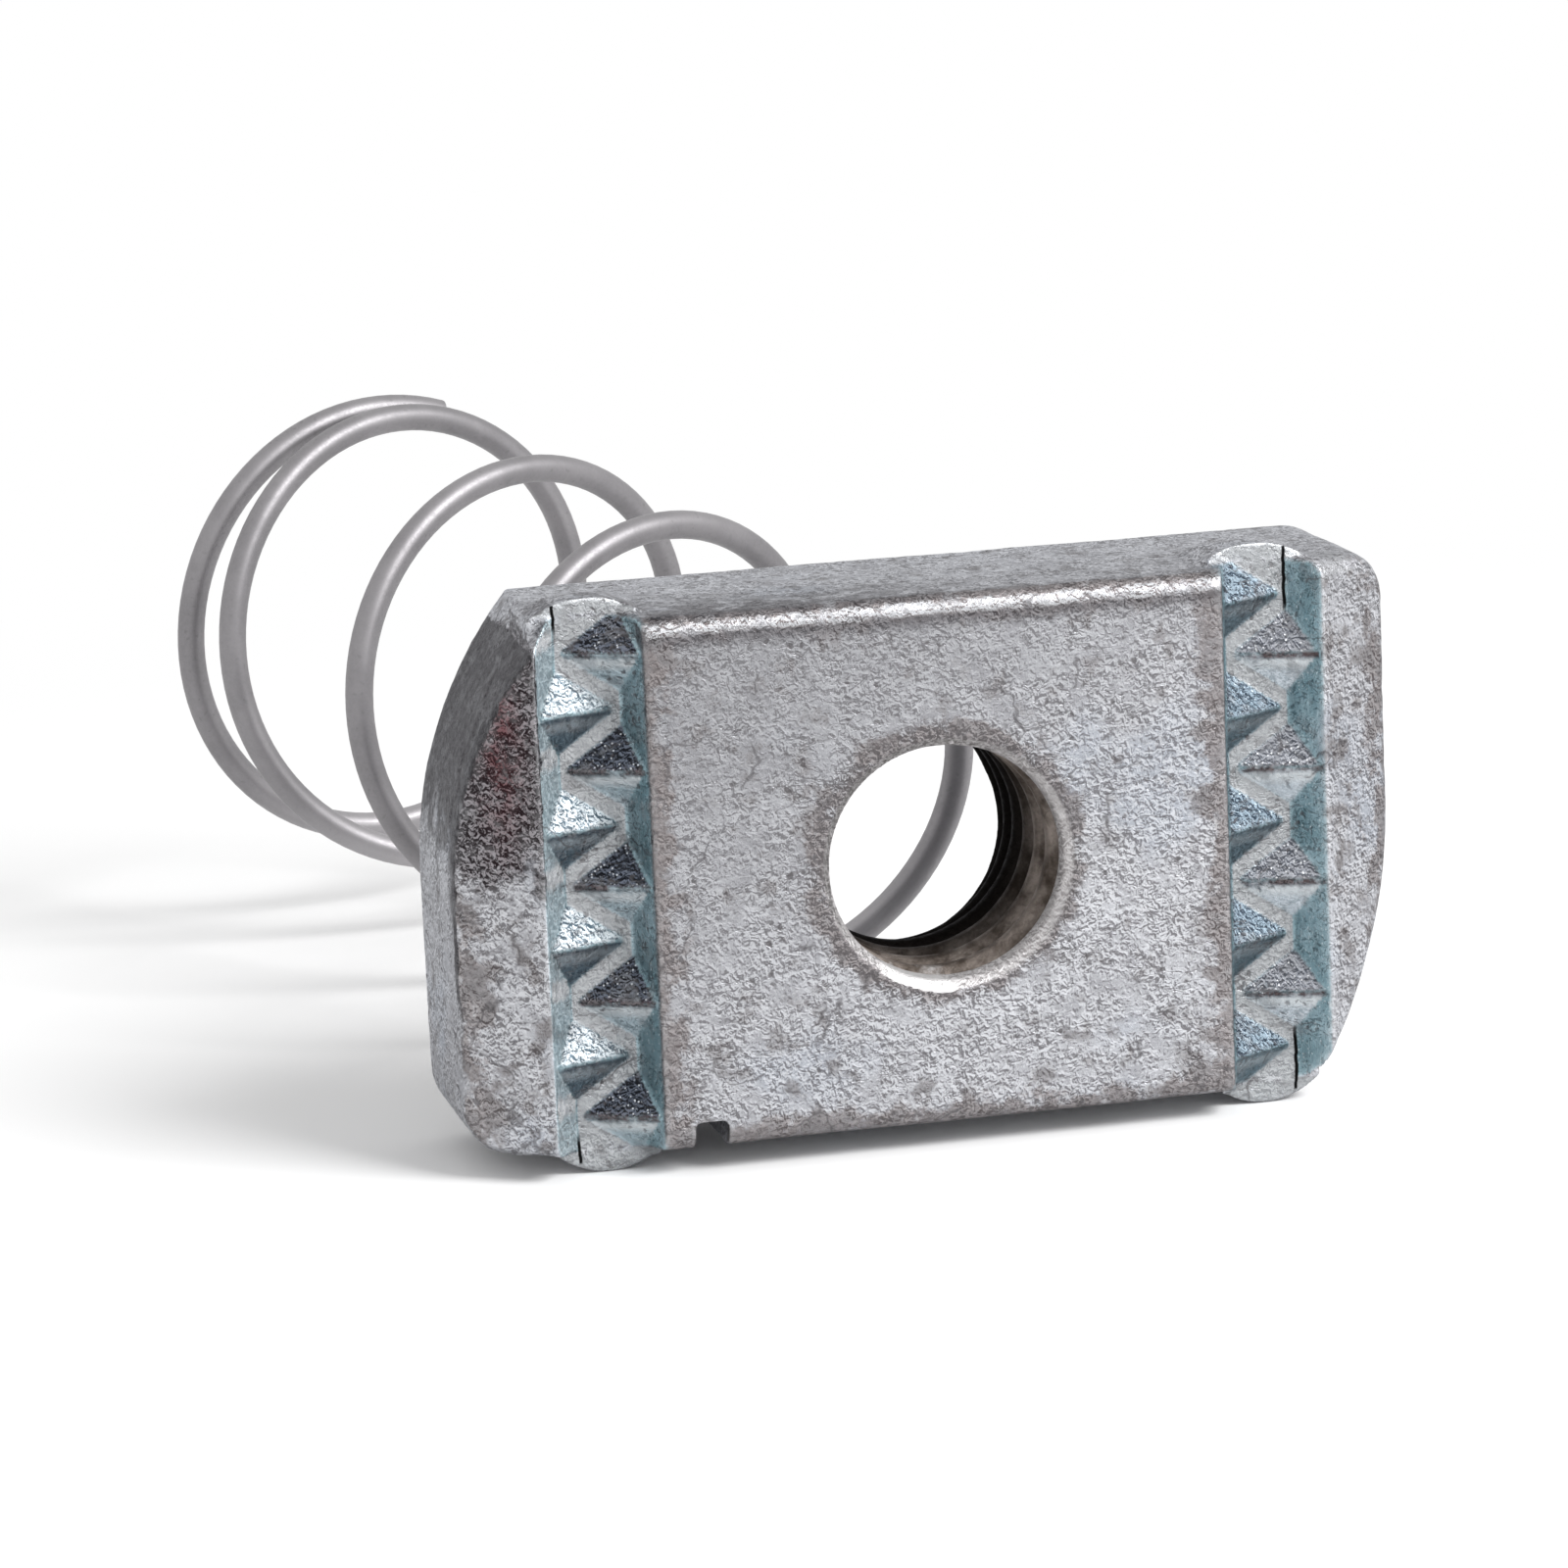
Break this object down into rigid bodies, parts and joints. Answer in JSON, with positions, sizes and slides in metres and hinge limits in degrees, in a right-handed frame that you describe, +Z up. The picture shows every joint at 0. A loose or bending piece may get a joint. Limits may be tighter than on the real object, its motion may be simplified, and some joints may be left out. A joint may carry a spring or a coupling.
{
  "type": "strut spring nut",
  "caption": "Toothed rectangular nut with a threaded hole, for the lips of a strut channel, with a leaning coil spring fixed to its back.",
  "frame": {"origin": "on the thread's axis at half the nut's thickness", "axes": "+X along the nut's length, +Z up across its width, the toothed face looks along -Y and the spring leaves the back along +Y"},
  "size_m": [0.0396, 0.0515, 0.0229],
  "materials": {
    "zinc_steel": "zinc plated, mottled",
    "spring_wire": "drawn wire, satin"
  },
  "bodies": {
    "root": {"nut": "zinc_steel", "spring": "spring_wire"}
  },
  "joints": []
}
